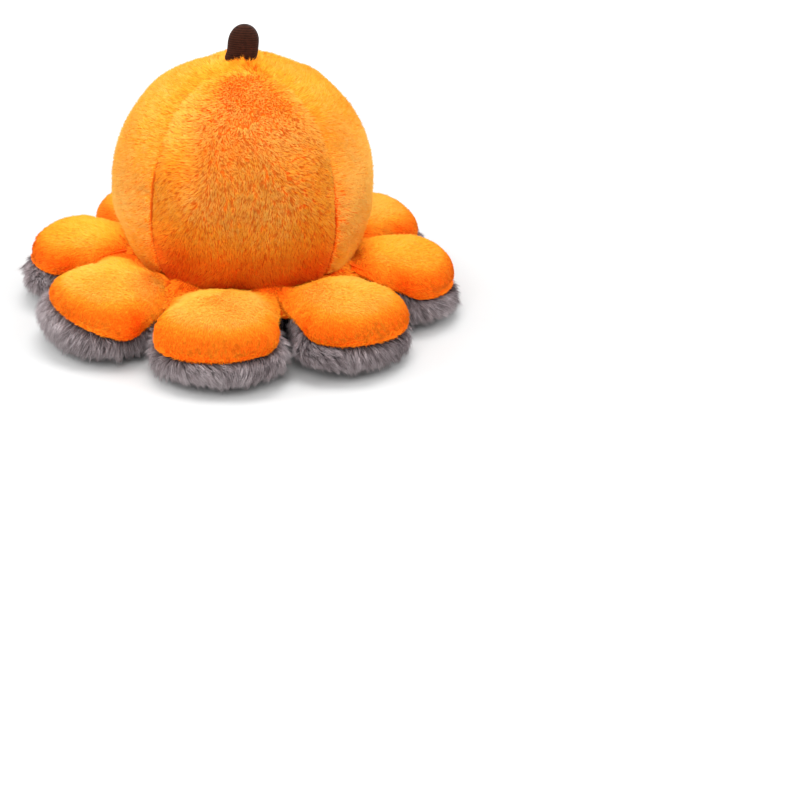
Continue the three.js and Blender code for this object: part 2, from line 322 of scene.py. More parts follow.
def polar_grid(rows, columns):
    """Reach from 0 to 1 and turn, row after row, of a closed grid."""
    turns = np.linspace(0, 2 * np.pi, columns, endpoint=False)
    reach, turn = np.meshgrid(np.linspace(0, 1, rows), turns, indexing="ij")
    return reach.ravel(), turn.ravel()


def point_normals(points, quads):
    normals = np.zeros_like(points)
    across = points[quads[:, 2]] - points[quads[:, 0]]
    along = points[quads[:, 3]] - points[quads[:, 1]]
    facing = np.cross(across, along)
    for corner in range(4):
        np.add.at(normals, quads[:, corner], facing)
    return unit(normals)


def add_skin(heap, points, rows, columns, closed, thickness, tone, depth=SKIN_DEPTH):
    """Adds a skin with its backing as one closed shell. Its outside is the grid's own side."""
    quads = grid_faces(rows, columns, closed)
    normals = point_normals(points, quads)
    inner = points - normals * thickness
    total = rows * columns
    index = np.arange(total).reshape(rows, columns)
    edges = [np.append(index[0], index[0, 0])[::-1] if closed else index[0][::-1]]
    edges.append(np.append(index[-1], index[-1, 0]) if closed else index[-1])
    if not closed:
        edges += [index[:, 0], index[::-1, -1]]
    walls = [np.stack([e[:-1], e[:-1] + total, e[1:] + total, e[1:]], axis=1) for e in edges]
    tones = np.column_stack([np.clip(tone, *TONE_RANGE), np.broadcast_to(depth, total)])
    heap.add(np.vstack([points, inner]), [quads, quads[:, ::-1] + total, *walls], np.vstack([tones, tones]))
    return quads, normals


# Strands

def scatter(points, quads, normals, count, rng, weight=None):
    """Random places on a skin, as positions and normals. weight thins them out, one number for each point."""
    triangles = np.vstack([quads[:, [0, 1, 2]], quads[:, [0, 2, 3]]])
    a, b, c = (points[triangles[:, k]] for k in range(3))
    chance = np.linalg.norm(np.cross(b - a, c - a), axis=1)
    if weight is not None:
        chance = chance * weight[triangles].mean(1)
    picked = triangles[rng.choice(len(triangles), count, p=chance / chance.sum())]
    s, t = rng.random((2, count))
    over = s + t > 1
    s[over], t[over] = 1 - s[over], 1 - t[over]
    shares = np.stack([1 - s - t, s, t], axis=1)[:, :, None]
    return (points[picked] * shares).sum(1), unit((normals[picked] * shares).sum(1))


def nearest(centres, places):
    """For each place, the number of the centre that is nearest to it."""
    tree = KDTree(len(centres))
    for index, centre in enumerate(centres):
        tree.insert(centre, index)
    tree.balance()
    return np.array([tree.find(place)[1] for place in places])


def bent(roots, normals, ways, lengths, leans):
    """Points along strands from the root to the tip, which lean over towards their ways at each step."""
    line = [roots]
    for lean in leans:
        way = normals * np.cos(lean)[:, None] + ways * np.sin(lean)[:, None]
        line.append(line[-1] + way * (lengths / len(leans))[:, None])
    return np.stack(line, axis=1)


def add_strands(
    heap, places, normals, ways, rng, style, tone, scale=1.0, lean=None, pulls=None, shadow_flecks=0.03, ceiling=None
):
    """Grows strands that draw together in clumps of two sizes. A share of the small clumps keep dark tips,
    painted shade for the gaps between tufts.
    """
    count, steps = len(places), style["steps"]
    lengths = style["length"] * scale * np.exp(rng.normal(0, style["uneven"], count))
    ways = turned(unit(ways), normals, rng.normal(0, style["stray"], count))
    spread = rng.normal(0, style["lean_spread"], count)
    leans = [np.clip(part + spread, 0.05, 1.5) for part in (style["lean"] if lean is None else lean)]
    line = bent(places, normals, ways, lengths, leans)
    tone = tone + rng.normal(0, style["mottle"][0], count)
    along = np.linspace(0, 1, steps + 1)[None, :, None] ** 1.3
    clumps = zip(style["clumps"], pulls or style["pulls"], style["mottle"][1:])
    for level, (size, pull, mottle) in enumerate(clumps):
        heads = rng.choice(count, max(4, count // size), replace=False)
        clump = nearest(places[heads], places)
        line = line + (line[heads][clump] - line) * np.broadcast_to(pull, count)[:, None, None] * along
        tone = tone + rng.normal(0, mottle, len(heads))[clump]
        if level == 0:
            dark = (rng.random(len(heads)) < np.broadcast_to(shadow_flecks, count)[heads])[clump]
    if ceiling is not None:
        line[:, :, 2] = np.minimum(line[:, :, 2], ceiling[:, None])
    line[:, :, 2] = np.maximum(line[:, :, 2], FLOOR_CLEAR)
    widths = style["width"] * np.exp(rng.normal(0, 0.2, count))
    # painted shade: the dark clumps' tips reach only part of the way to the light depth
    height = np.where(dark, style["shadow_fleck_depth"], 1.0)
    add_needles(heap, line, widths, np.clip(tone, *TONE_RANGE), style["root"], height, rng)


def add_needles(heap, line, widths, tone, root, height, rng):
    """Adds tapered three-sided needles along the lines. height scales the depth that their tips reach."""
    count, levels = line.shape[:2]
    along = unit(line[:, -1] - line[:, 0])
    first = unit(np.cross(along, rng.normal(size=(count, 3))))
    second = np.cross(along, first)
    shares = np.linspace(0, 1, levels)[:-1]
    half_widths = widths[:, None] * (1 - TAPER * shares**1.5)[None] / 2
    rings = []
    for corner in range(3):
        angle = 2 * np.pi * corner / 3
        arm = first * math.cos(angle) + second * math.sin(angle)
        rings.append(line[:, :-1] + arm[:, None] * half_widths[:, :, None])
    rings = np.stack(rings, axis=2).reshape(count, -1, 3)
    points = np.concatenate([rings, line[:, -1:]], axis=1)
    per = points.shape[1]
    start = (np.arange(count) * per)[:, None, None]
    sides, tips = [], []
    for corner in range(3):
        beside = (corner + 1) % 3
        for level in range(levels - 2):
            low, high = 3 * level, 3 * level + 3
            sides.append([low + corner, low + beside, high + beside, high + corner])
        tips.append([per - 4 + corner, per - 4 + beside, per - 1])
    faces = [(start + np.array(group)[None]).reshape(-1, len(group[0])) for group in (sides, tips) if group]
    corner_tone = np.append(np.tile([-TONE_SPREAD, 0, TONE_SPREAD], levels - 1), 0.0)
    level_tone = np.append(np.repeat(shares, 3), 1.0)
    tones = np.empty((count, per, 2))
    tones[:, :, 0] = tone[:, None] + corner_tone[None]
    tones[:, :, 1] = root + (TIP_DEPTH - root) * level_tone[None] * height[:, None]
    heap.add(points.reshape(-1, 3), faces, tones.reshape(-1, 2))


# Materials

def new_material(name):
    material = bpy.data.materials.new(name)
    material.use_nodes = True
    nodes = material.node_tree.nodes
    return material, nodes, material.node_tree.links, nodes["Principled BSDF"]


def set_inputs(node, values):
    for name, value in values.items():
        node.inputs[name].default_value = value


def ramp(nodes, links, source, stops):
    node = nodes.new("ShaderNodeValToRGB")
    while len(node.color_ramp.elements) < len(stops):
        node.color_ramp.elements.new(0.5)
    for element, (place, colour) in zip(node.color_ramp.elements, stops):
        element.position = place
        element.color = (*colour, 1)
    links.new(source, node.inputs["Fac"])
    return node.outputs["Color"]


def strand_material(name, tones, depths, roughness, sheen, sheen_tint):
    """Cloth with a pile: the tone map's first axis is a strand's tone, and its second the way to the tip,
    along which the depth ramp paints shade, darker and redder towards the root.
    """
    material, nodes, links, shader = new_material(name)
    where = nodes.new("ShaderNodeUVMap")
    where.uv_map = "OFBake"
    split = nodes.new("ShaderNodeSeparateXYZ")
    links.new(where.outputs["UV"], split.inputs["Vector"])
    shade = ramp(nodes, links, split.outputs["X"], tones)
    depth = ramp(nodes, links, split.outputs["Y"], depths)
    mix = nodes.new("ShaderNodeMix")
    mix.data_type = "RGBA"
    mix.blend_type = "MULTIPLY"
    mix.inputs["Factor"].default_value = 1
    links.new(shade, mix.inputs["A"])
    links.new(depth, mix.inputs["B"])
    links.new(mix.outputs["Result"], shader.inputs["Base Color"])
    set_inputs(shader, {
        "Roughness": roughness, "Specular IOR Level": 0.03,
        "Sheen Weight": sheen, "Sheen Roughness": 0.5, "Sheen Tint": (*sheen_tint, 1),
    })
    return material


def stem_material():
    """Fine cross ribs with a little fluff."""
    material, nodes, links, shader = new_material("brown_cloth")
    place = nodes.new("ShaderNodeTexCoord")
    ribs = nodes.new("ShaderNodeTexWave")
    ribs.bands_direction = "Z"
    set_inputs(ribs, {"Scale": 330, "Distortion": 1.2, "Detail": 2, "Detail Scale": 2})
    links.new(place.outputs["Object"], ribs.inputs["Vector"])
    fluff = nodes.new("ShaderNodeTexNoise")
    set_inputs(fluff, {"Scale": 700, "Detail": 4})
    links.new(place.outputs["Object"], fluff.inputs["Vector"])
    both = nodes.new("ShaderNodeMath")
    both.operation = "MULTIPLY_ADD"
    links.new(ribs.outputs["Fac"], both.inputs[0])
    both.inputs[1].default_value = 0.5
    links.new(fluff.outputs["Fac"], both.inputs[2])
    browns = [(0.35, (0.01, 0.003, 0.0015)), (0.95, (0.033, 0.01, 0.005))]
    links.new(ramp(nodes, links, both.outputs["Value"], browns), shader.inputs["Base Color"])
    bump = nodes.new("ShaderNodeBump")
    set_inputs(bump, {"Strength": 0.5, "Distance": 0.0004})
    links.new(both.outputs["Value"], bump.inputs["Height"])
    links.new(bump.outputs["Normal"], shader.inputs["Normal"])
    set_inputs(shader, {"Roughness": 0.9, "Specular IOR Level": 0.08, "Sheen Weight": 0.03})
    return material


ORANGE = strand_material(
    "orange_plush",
    tones=[
        (0.0, (0.85, 0.06, 0.002)), (0.25, (1.0, 0.19, 0.006)), (0.5, (1.0, 0.39, 0.023)),
        (0.75, (1.0, 0.56, 0.115)), (1.0, (1.0, 0.70, 0.18)),
    ],
    # painted shade deep in the pile, and a painted red glow of light through the fibres: darker and redder
    # towards the root
    depths=[
        (0.0, (0.38, 0.14, 0.09)), (0.05, (0.7, 0.33, 0.22)), (0.14, (0.78, 0.42, 0.3)),
        (0.32, (0.97, 0.8, 0.7)), (0.65, (1.0, 0.97, 0.94)), (0.9, (1.0, 1.0, 1.0)),
    ],
    roughness=0.8,
    sheen=0.06,
    sheen_tint=(1.0, 0.6, 0.15),
)
GREY = strand_material(
    "grey_fur",
    tones=[(0.0, (0.13, 0.105, 0.11)), (0.5, (0.41, 0.338, 0.348)), (1.0, (0.78, 0.69, 0.705))],
    # painted shade deep in the fur: darker towards the root
    depths=[(0.0, (0.14, 0.13, 0.13)), (0.45, (0.5, 0.49, 0.49)), (1.0, (1.0, 1.0, 1.0))],
    roughness=0.75,
    sheen=0.1,
    sheen_tint=(0.9, 0.85, 0.87),
)
BROWN = stem_material()

# Styles of strands: sizes in millimetres, leans in radians, clumps in strands
PILE = dict(
    steps=1, root=0.06, length=2.3, width=0.28, lean=(0.85,), lean_spread=0.16, uneven=0.18, stray=0.3,
    clumps=(9, 40), pulls=(0.35, 0.15), mottle=(0.045, 0.03, 0.02), shadow_fleck_depth=0.13,
)
FRONT_PILE = dict(PILE, clumps=(4, 42))
REAR_PILE = dict(PILE, clumps=(10, 42))
SIDE_PILE = dict(PILE, root=0.2, length=2.2, lean=(1.1,), stray=0.2)
PANEL_PILES = (FRONT_PILE, SIDE_PILE, REAR_PILE, SIDE_PILE)
PAD_PILE = dict(PILE, root=0.22, length=2.1, lean=(1.15,), clumps=(12, 44), mottle=(0.03, 0.015, 0.01))
FUR = dict(
    steps=2, root=0.06, length=8.2, width=0.24, lean=(0.5, 0.95), lean_spread=0.2, uneven=0.15, stray=0.35,
    clumps=(6, 26), pulls=(0.5, 0.45), mottle=(0.13, 0.13, 0.08), shadow_fleck_depth=0.45,
)
POCKET_FUR = dict(FUR, length=8.0, lean=(0.7, 1.25), clumps=(6, 24), width=0.5)
UNDER_FUR = dict(FUR, length=5.5, lean=(0.8, 1.3), clumps=(6, 24), width=0.5)


# Swelling

def swollen(forms):
    """Blows cloth up by simulation: forms are (points, faces, held, pressure, limit), in millimetres."""
    scene = bpy.context.scene
    copies = []
    for number, (points, faces, held, pressure, _) in enumerate(forms):
        mesh = bpy.data.meshes.new(f"swelling_{number}")
        mesh.from_pydata((points * SIM_SCALE).tolist(), [], [list(face) for face in faces])
        copy = bpy.data.objects.new(mesh.name, mesh)
        scene.collection.objects.link(copy)
        group = copy.vertex_groups.new(name="held")
        for vertex, share in enumerate(held):
            group.add([vertex], float(share), "REPLACE")
        cloth = copy.modifiers.new("cloth", "CLOTH")
        for setting, value in CLOTH.items():
            setattr(cloth.settings, setting, value)
        cloth.settings.vertex_group_mass = group.name
        cloth.settings.uniform_pressure_force = pressure
        cloth.settings.effector_weights.gravity = 0
        cloth.collision_settings.use_collision = False
        copies.append(copy)
    for step in range(1, SIM_FRAMES + 1):
        scene.frame_set(step)
    view = bpy.context.evaluated_depsgraph_get()
    results = []
    for copy, (points, *_, limit) in zip(copies, forms):
        places = np.empty(len(points) * 3, np.float32)
        copy.evaluated_get(view).data.vertices.foreach_get("co", places)
        moves = places.reshape(-1, 3).astype(float) / SIM_SCALE - points
        far = np.linalg.norm(moves, axis=1)
        results.append(points + moves * np.minimum(1, limit / np.maximum(far, 1e-9))[:, None])
    for copy in copies:
        mesh = copy.data
        bpy.data.objects.remove(copy)
        bpy.data.meshes.remove(mesh)
    scene.frame_set(1)
    return results


# Head

def panel_middle(index):
    """Turn of a panel's middle from the front."""
    return PANEL_TURN + 2 * HALF_PANEL * index


def head_skin(turn, fall):
    """Points of the head's skin at a turn round it and an angle down from the crown."""
    step = 2 * HALF_PANEL
    seam = (turn - PANEL_TURN + HALF_PANEL) % step
    seam = np.minimum(seam, step - seam)
    off = seam * HEAD_RADIUS * np.sin(fall)
    low = smooth(0.9, 1.7, fall)
    way = spoke(turn) * np.sin(fall)[:, None]
    way[:, 2] = np.cos(fall)
    radius = np.full(len(turn), HEAD_RADIUS - PILE_ROOM - HEAD_SLACK)
    for depth, deeper, reach in SEAM_PULLS:
        radius -= (depth + deeper * low) * bell(off, reach)
    for height, size, seed in HEAD_BUMPS:
        radius += height * ripples(way * HEAD_RADIUS, size, seed)
    radius += (SHOULDER + SHOULDER_LEAN * way[:, 0]) * bell(fall - SHOULDER_FALL, SHOULDER_REACH)
    radius -= WAIST * bell(fall - WAIST_FALL, WAIST_REACH)
    for dent_turn, dent_fall, depth, reach in DENTS:
        middle = np.append(spoke(np.array(dent_turn))[:2] * math.sin(dent_fall), math.cos(dent_fall))
        radius -= depth * bell(np.linalg.norm(way - middle, axis=1) * HEAD_RADIUS, reach)
    points = way * (radius * (1 - TUCK_DRAW * smooth(HEAD_TUCK, HEAD_FALL, fall)))[:, None]
    points[:, 0] += HEAD_SHIFT
    points[:, 2] += HEAD_CENTRE
    across = HEAD_RADIUS * np.sin(fall)
    gathers = GATHER_DEPTH * np.cos(GATHERS * turn + 1) * bell(across - CROWN_REACH, GATHER_REACH)
    points[:, 2] += np.where(fall < 1, CROWN_RISE * bell(across, CROWN_REACH) + gathers, 0)
    return points


def head_form():
    """The whole head's skin as one closed grid, with its columns close together beside the seams."""
    across = np.sin(np.linspace(-np.pi / 2, np.pi / 2, GORE_COLUMNS + 1))[:-1] * HALF_PANEL
    turns = np.concatenate([panel_middle(index) + across for index in range(PANEL_COUNT)])
    fall, turn = np.meshgrid(np.linspace(HEAD_TOP, HEAD_FALL, HEAD_ROWS), turns, indexing="ij")
    points = head_skin(turn.ravel(), fall.ravel())
    column = np.tile(np.arange(len(turns)), HEAD_ROWS)
    seam = np.minimum(column % GORE_COLUMNS, GORE_COLUMNS - column % GORE_COLUMNS)
    row = np.repeat(np.arange(HEAD_ROWS), len(turns))
    held = (seam <= SEAM_HELD) | (row < CROWN_HELD) | (row > CREASE_HELD * HEAD_ROWS)
    return points, grid_faces(HEAD_ROWS, len(turns), True), held.astype(float), HEAD_PRESSURE, HEAD_LIMIT


def seam_distance(places, middle):
    """Distance round the head from a panel's nearer seam, in millimetres."""
    x, y = places[:, 0] - HEAD_SHIFT, places[:, 1]
    off = (np.arctan2(x, -y) - middle + np.pi) % (2 * np.pi) - np.pi
    return np.maximum(HALF_PANEL - np.abs(off), 0) * np.hypot(x, y)


def head_ways(turn, facing):
    """Directions down the head and round it, along its skin."""
    level = np.stack([np.cos(turn), np.sin(turn), np.zeros(len(turn))], axis=1)
    down = unit(np.cross(facing, level))
    down[down[:, 2] > 0] *= -1
    sideways = unit(np.cross(facing, down))
    return down, sideways * np.sign((sideways * level).sum(1))[:, None]


def panel_spots(index, places, turn):
    """Where places lie on a panel: off its middle, up the head, beside its seams and round the stem."""
    spots = SimpleNamespace(places=places, height=places[:, 2])
    spots.off = (turn - panel_middle(index) + np.pi) % (2 * np.pi) - np.pi
    spots.drift = 0.7 * ripples(places, 16, 41 + index)
    seam_gap = seam_distance(places, panel_middle(index))
    upper = smooth(62.0, 84.0, spots.height)
    spots.feather = bell(seam_gap, 7.0) * upper
    spots.by_seam = smooth(4.0, 1.0, seam_gap) * (1 - upper)
    from_axis = np.hypot(places[:, 0] - HEAD_SHIFT, places[:, 1])
    spots.from_stem = np.where(spots.height > 90, from_axis, 90.0)
    return spots


def front_pile(spots):
    """The front panel's pile: brushed apart from the middle, with dark dashes at the upper right as painted
    shade between its tufts, and painted shade towards the crease.
    """
    places, off, height = spots.places, spots.off, spots.height
    angle = (0.8 * np.clip(off / HALF_PANEL, -1, 1) + 0.8 * spots.drift) * (1 - 0.8 * spots.by_seam)
    low = smooth(66.0, 29.0, height)
    band = smooth(82.0, 94.0, height) * smooth(106.0, 98.0, height)
    left = smooth(0.1, -0.6, off)
    sides = smooth(0.2, 0.55, np.abs(off))
    tone = 0.64 + 0.02 * ripples(places, 14, 33) + 0.04 * spots.feather
    # painted shade: low darkens the pile towards the crease
    tone += 0.06 * band - 0.34 * low - 0.03 * left - 0.09 * sides - 0.26 * bell(spots.from_stem, 15.0)
    patches = smooth(0.1, 1.0, ripples(places, 17, 46)) * smooth(38.0, 60.0, height)
    brushed = np.clip(bell(off - 0.3, 0.4) * bell(height - 74, 20) + 0.5 * patches, 0, 1)
    # painted shade: dark dashes, for shadowed gaps between tufts
    dashes = smooth(36.0, 64.0, height) * (1 - 0.5 * smooth(84.0, 98.0, height))
    return angle, tone, (0.36, 0.1 + 0.25 * brushed), 0.02 + (0.06 + 0.12 * brushed) * dashes


def rear_pile(spots):
    # painted shade: darker towards the crease
    tone = 0.58 + 0.05 * ripples(spots.places, 18, 34) - 0.18 * smooth(58.0, 29.0, spots.height)
    return 0.5 * spots.drift, tone, (0.36, 0.3), 0.08


def side_pile(spots, right):
    """A side panel's pile, which lies sideways, away from the front."""
    angle = (1 if right else -1) * 1.25 + 0.3 * spots.drift
    low, high = smooth(58.0, 29.0, spots.height), smooth(72.0, 100.0, spots.height)
    # painted shade: low darkens the pile towards the crease
    tone = 0.67 + 0.03 * ripples(spots.places, 22, 35) - 0.06 * spots.feather - 0.16 * low
    return angle, tone - (0.14 if right else 0.1) * high, (0.28, 0.1), 0.0


def head_panel(index, head):
    """One gore of the head, cut from the swollen skin, with its pile."""
    rng = np.random.default_rng(HEAD_SEED + index)
    style = PANEL_PILES[index]
    rows, columns = HEAD_ROWS, GORE_COLUMNS + 1
    picked = (index * GORE_COLUMNS + np.arange(columns)) % (PANEL_COUNT * GORE_COLUMNS)
    points = head.reshape(rows, -1, 3)[:, picked].reshape(-1, 3)
    heap = Heap()
    fade = np.where(points[:, 0] < 0, *SEAM_FADE)
    drawn = smooth(fade + SEAM_FADE_LENGTH, fade, points[:, 2])
    drawn = drawn * smooth(1.9, 0.5, seam_distance(points, panel_middle(index)))
    # painted shade: by the lower seams the skin goes dark, for the shade in the seam's groove, and the
    # strands thin out there
    tone, depth = pile_skin_tone(points, 0.42), style["root"] * (1 - drawn)
    quads, normals = add_skin(heap, points, rows, columns, False, LINING, tone, depth)
    count = FRONT_STRANDS if index == FRONT else PANEL_STRANDS
    places, facing = scatter(points, quads, normals, count, rng, 1 - 0.97 * drawn)
    turn = np.arctan2(places[:, 0] - HEAD_SHIFT, -places[:, 1])
    spots = panel_spots(index, places, turn)
    if index == FRONT:
        angle, tone, pulls, shadow_flecks = front_pile(spots)
    elif index == REAR:
        angle, tone, pulls, shadow_flecks = rear_pile(spots)
    else:
        angle, tone, pulls, shadow_flecks = side_pile(spots, index == RIGHT)
    down, sideways = head_ways(turn, facing)
    ways = down * np.cos(angle)[:, None] + sideways * np.sin(angle)[:, None]
    crown = bell(spots.from_stem, CROWN_REACH)
    tuft = 1 + (0.4 + 0.5 * smooth(-3.0, 5.0, places[:, 0])) * crown
    scale = tuft * (1 - 0.45 * spots.by_seam)
    lean = (style["lean"][0] - 0.45 * crown + 0.25 * spots.by_seam,)
    add_strands(heap, places, facing, ways, rng, style, tone - 0.06 * crown, scale, lean, pulls, shadow_flecks)
    piece = heap.piece(f"head_panel_{index + 1}_plush", ORANGE)
    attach(piece, "head")
    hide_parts(f"head_panel_{index + 1}", *(["head_filling"] if index == FRONT else []))


# Petals

def petal_room(outward):
    """Half the width between a petal's neighbours."""
    return (PETAL_CENTRE + outward) * math.tan(HALF_SECTOR) - PETAL_SPACE / 2 / math.cos(HALF_SECTOR)


def petal_outline(turn):
    """The petal's outline about its middle, root towards -X, as (outward, across)."""
    power = np.where(np.cos(turn) > 0, 2 / TIP_ROUNDING, 2 / ROOT_ROUNDING)
    outward = PETAL_HALF * np.sign(np.cos(turn)) * np.abs(np.cos(turn)) ** power
    across = np.sign(np.sin(turn)) * np.abs(np.sin(turn)) ** power
    return outward, across * petal_room(np.minimum(outward, TIP_FLARE * outward))


def petal_ways(index):
    """A petal's directions outwards from the head and across, towards the next petal."""
    angle = -math.pi / 2 + 2 * math.pi * index / PETAL_COUNT
    x, y = math.cos(angle), math.sin(angle)
    return np.array([x, y, 0.0]), np.array([-y, x, 0.0])


def petal_place(index, local):
    """From the petal's own frame, root towards -X, to the part's frame."""
    out, across = petal_ways(index)
    return (local[:, :1] + PETAL_CENTRE) * out + local[:, 1:2] * across + local[:, 2:] * UP


def petal_bearing(index, places):
    """Turn about the petal's middle, as petal_outline takes it, of points in the part's frame."""
    out, across = petal_ways(index)
    return np.arctan2(places @ across / petal_room(0.0), (places @ out - PETAL_CENTRE) / PETAL_HALF)


def rim_height(index, turn):
    """Height of the rim seam at a turn about the petal's middle."""
    root = ROOT_LIFT * smooth(0.35, -0.75, np.cos(turn))
    lift = root + RIM_TIP[index] * np.maximum(np.cos(turn), 0) + RIM_SIDE[index] * np.sin(turn)
    return RIM_HEIGHT + lift


def blend_petal(piece):
    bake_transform(piece)


def pad_tuck(reach):
    """How far below the rim a pad's row lies, from 0 to 1."""
    return np.clip((reach - TUCK) / (1 - TUCK), 0, 1)


def pad_form(index):
    """An orange top in the petal's own frame, from the middle to the rim, ready to swell."""
    reach, turn = polar_grid(PAD_ROWS, PAD_COLUMNS)
    outward, across = petal_outline(turn)
    share = np.sin(np.minimum(reach / TUCK, 1) * np.pi / 2)
    tuck = pad_tuck(reach) * np.pi / 2
    root = smooth(0.05, -0.5, np.cos(turn))
    edge = 1 - PAD_INSET / PETAL_HALF + ROOT_SPREAD * root
    wide = edge * share - TUCK_IN / PETAL_HALF * (1 - np.cos(tuck))
    x, y = wide * outward, wide * across
    x = x - ROOT_TUCK * smooth(-15.0, -23.0, x)
    valley = (PETAL_CENTRE + x) * math.tan(HALF_SECTOR) - VALLEY
    y = y / (1 + (np.abs(y) / valley) ** VALLEY_BEND) ** (1 / VALLEY_BEND)
    share = np.minimum(share, 1)
    crown = (1 - share**PAD_CROWN) ** (1 / PAD_CROWN)
    crown += (0.5 + 0.5 * np.cos(np.pi * share**ROOT_SLOPE) - crown) * root
    top = PETAL_HEIGHT - PILE_ROOM - PAD_SLACK
    rim = rim_height(index, turn) + RIM_LAP
    z = rim + (top - rim) * crown - TUCK_DOWN * np.sin(tuck)
    z += PAD_BUMP * ripples(np.stack([x, y, 0 * x], axis=1), 16, 200 + index) * smooth(1.0, 0.6, share)
    y = y + PAD_SHIFT[index] * smooth(-0.7, 0.3, x / PETAL_HALF)
    points = np.stack([x, y, z], axis=1)
    held = (reach > TUCK - RIM_HELD) | (x < -ROOT_HELD * PETAL_HALF)
    quads = grid_faces(PAD_ROWS, PAD_COLUMNS, True)[PAD_COLUMNS:] - PAD_COLUMNS + 1
    ring = 1 + np.arange(PAD_COLUMNS)
    fan = np.stack([np.zeros(PAD_COLUMNS, int), ring, np.roll(ring, -1)], axis=1)
    kept = np.concatenate([[0], np.arange(PAD_COLUMNS, len(points))])
    return points[kept], [*fan, *quads], held[kept].astype(float), PAD_PRESSURE, PAD_LIMIT


def pad_tone(index, places):
    """A pad's tone, with painted shade: redder in the valleys and near the crease, and redder towards the
    rim, partly the pile's own colour and partly painted shade; and how near the rim is.
    """
    out, sideways = petal_ways(index)
    outward, across = places @ out - PETAL_CENTRE, places @ sideways - PAD_SHIFT[index]
    share = np.hypot(outward / PETAL_HALF, across / petal_room(TIP_FLARE * outward))
    edge = smooth(0.62, 1.0, share / (1 - PAD_INSET / PETAL_HALF)) * smooth(-10.0, 2.0, outward)
    root = smooth(64.0, 51.0, places @ out)
    beside = (PETAL_CENTRE + outward) * math.tan(HALF_SECTOR) - np.abs(across)
    valley = smooth(13.0, 1.5, beside) * smooth(12.0, -4.0, outward)
    tone = 0.61 + PAD_PAINTED_LIGHT_SHADE[index] + 0.02 * ripples(places, 18, 36)
    # painted shade: edge (partly the pile's own colour), root by the crease, and valley between the petals
    return np.maximum(tone - 0.29 * edge - 0.1 * root - 0.19 * valley, 0.12), edge


def petal_top(index, pad):
    """A petal's orange pad, from its swollen shape, with its pile."""
    rng = np.random.default_rng(PAD_SEED + index)
    out = petal_ways(index)[0]
    points = petal_place(index, np.vstack([np.repeat(pad[:1], PAD_COLUMNS, axis=0), pad[1:]]))
    heap = Heap()
    tone = pad_tone(index, points)[0] - 0.04
    quads, normals = add_skin(heap, points, PAD_ROWS, PAD_COLUMNS, True, LINING, tone, PAD_SKIN_DEPTH)
    tuck = pad_tuck(polar_grid(PAD_ROWS, PAD_COLUMNS)[0])
    under_head = smooth(52.5, 51.0, points @ out)
    weight = (1 - 0.8 * smooth(0.15, 0.7, tuck)) * (1 - 0.9 * under_head)
    places, facing = scatter(points, quads, normals, PAD_STRANDS, rng, weight)
    flow = laid(unit((places - out * PAD_FLOW) * LEVEL), facing)
    flow = turned(unit(flow), facing, 0.25 * ripples(places, 14, 51 + index))
    tone, edge = pad_tone(index, places)
    pulls = (0.2 + 0.12 * edge, 0.06 + 0.1 * edge)
    scale = 1 - 0.25 * edge
    add_strands(heap, places, facing, flow, rng, PAD_PILE, tone, scale, pulls=pulls, shadow_flecks=0.0)
    piece = heap.piece(f"petal_{index + 1}_top_plush", ORANGE)
    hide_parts(f"petal_{index + 1}_top", f"petal_{index + 1}_filling")
    blend_petal(piece)


def belly_form(index):
    """The furry underside's skin in the petal's own frame, from the rim to the middle of the floor side."""
    fall, turn = polar_grid(BELLY_ROWS, BELLY_COLUMNS)
    outward, across = petal_outline(turn)
    belly = 1 - FUR_ROOM / PETAL_HALF
    start = 1 - BELLY_INSET / PETAL_HALF
    rim = rim_height(index, turn) - RIM_LAP
    low = FUR_ROOM * 0.9
    wall = np.clip(fall / BELLY_WALL, 0, 1)
    under = np.clip((fall - BELLY_WALL) / (BELLY_UNDER - BELLY_WALL), 0, 1) * np.pi / 2
    flat = np.clip((fall - BELLY_UNDER) / (1 - BELLY_UNDER), 0, 1)
    share = start + (belly - start) * np.sin(wall * np.pi / 2)
    share = np.where(under > 0, CONTACT + (belly - CONTACT) * np.cos(under), share)
    share = np.maximum(share * (1 - flat), 0.01)
    z = rim + (BELLY_HEIGHT - rim) * wall
    z = np.where(under > 0, low + (BELLY_HEIGHT - low) * (1 - np.sin(under)), z)
    thinned = 1 - 0.5 * smooth(0.0, -0.6, np.cos(turn))
    weight = thinned * np.where(z < 5, 0.5, 1.0) * smooth(0.2, 1.8, rim - z)
    return petal_place(index, np.stack([share * outward, share * across, z], axis=1)), weight


def petal_underside(index):
    """A petal's furry belly, combed outwards and down."""
    rng = np.random.default_rng(BELLY_SEED + index)
    out = petal_ways(index)[0]
    points, weight = belly_form(index)
    heap = Heap()
    tone = fur_skin_tone(points)
    quads, normals = add_skin(heap, points, BELLY_ROWS, BELLY_COLUMNS, True, LINING, tone)
    places, facing = scatter(points, quads, normals, BELLY_STRANDS, rng, weight)
    height = places[:, 2]
    spread = unit((places - out * PETAL_CENTRE) * LEVEL)
    flow = spread * facing[:, 2:] - UP * (spread * facing).sum(1)[:, None] + out * 0.2
    flow = turned(unit(laid(flow, facing)), facing, 0.3 + 0.55 * ripples(places, 13, 71 + index))
    bearing = petal_bearing(index, places)
    rim = rim_height(index, bearing)
    close = smooth(4.0, 0.5, rim - height)
    # painted light and shade: each petal's fur lighter or darker, and darker under the rim and near the
    # floor, where shade falls
    tone = 0.55 + FUR_PAINTED_LIGHT_SHADE[index] + 0.08 * ripples(places, 12, 62)
    tone += -0.24 * close - 0.12 * smooth(6.5, 3.5, height)
    lean = (FUR["lean"][0] + 0.45 * close, FUR["lean"][1] + 0.25 * close)
    scale = (1 - 0.35 * close) * (1 - 0.6 * smooth(10.5, 6.0, height))
    scale = scale * (1 - 0.35 * smooth(0.1, -0.5, np.cos(bearing)))
    ceiling = np.maximum(height, rim - FUR_CEILING)
    add_strands(heap, places, facing, flow, rng, FUR, tone, scale, lean, ceiling=ceiling)
    piece = heap.piece(f"petal_{index + 1}_underside_fur", GREY)
    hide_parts(f"petal_{index + 1}_underside")
    blend_petal(piece)


# Rings and pocket

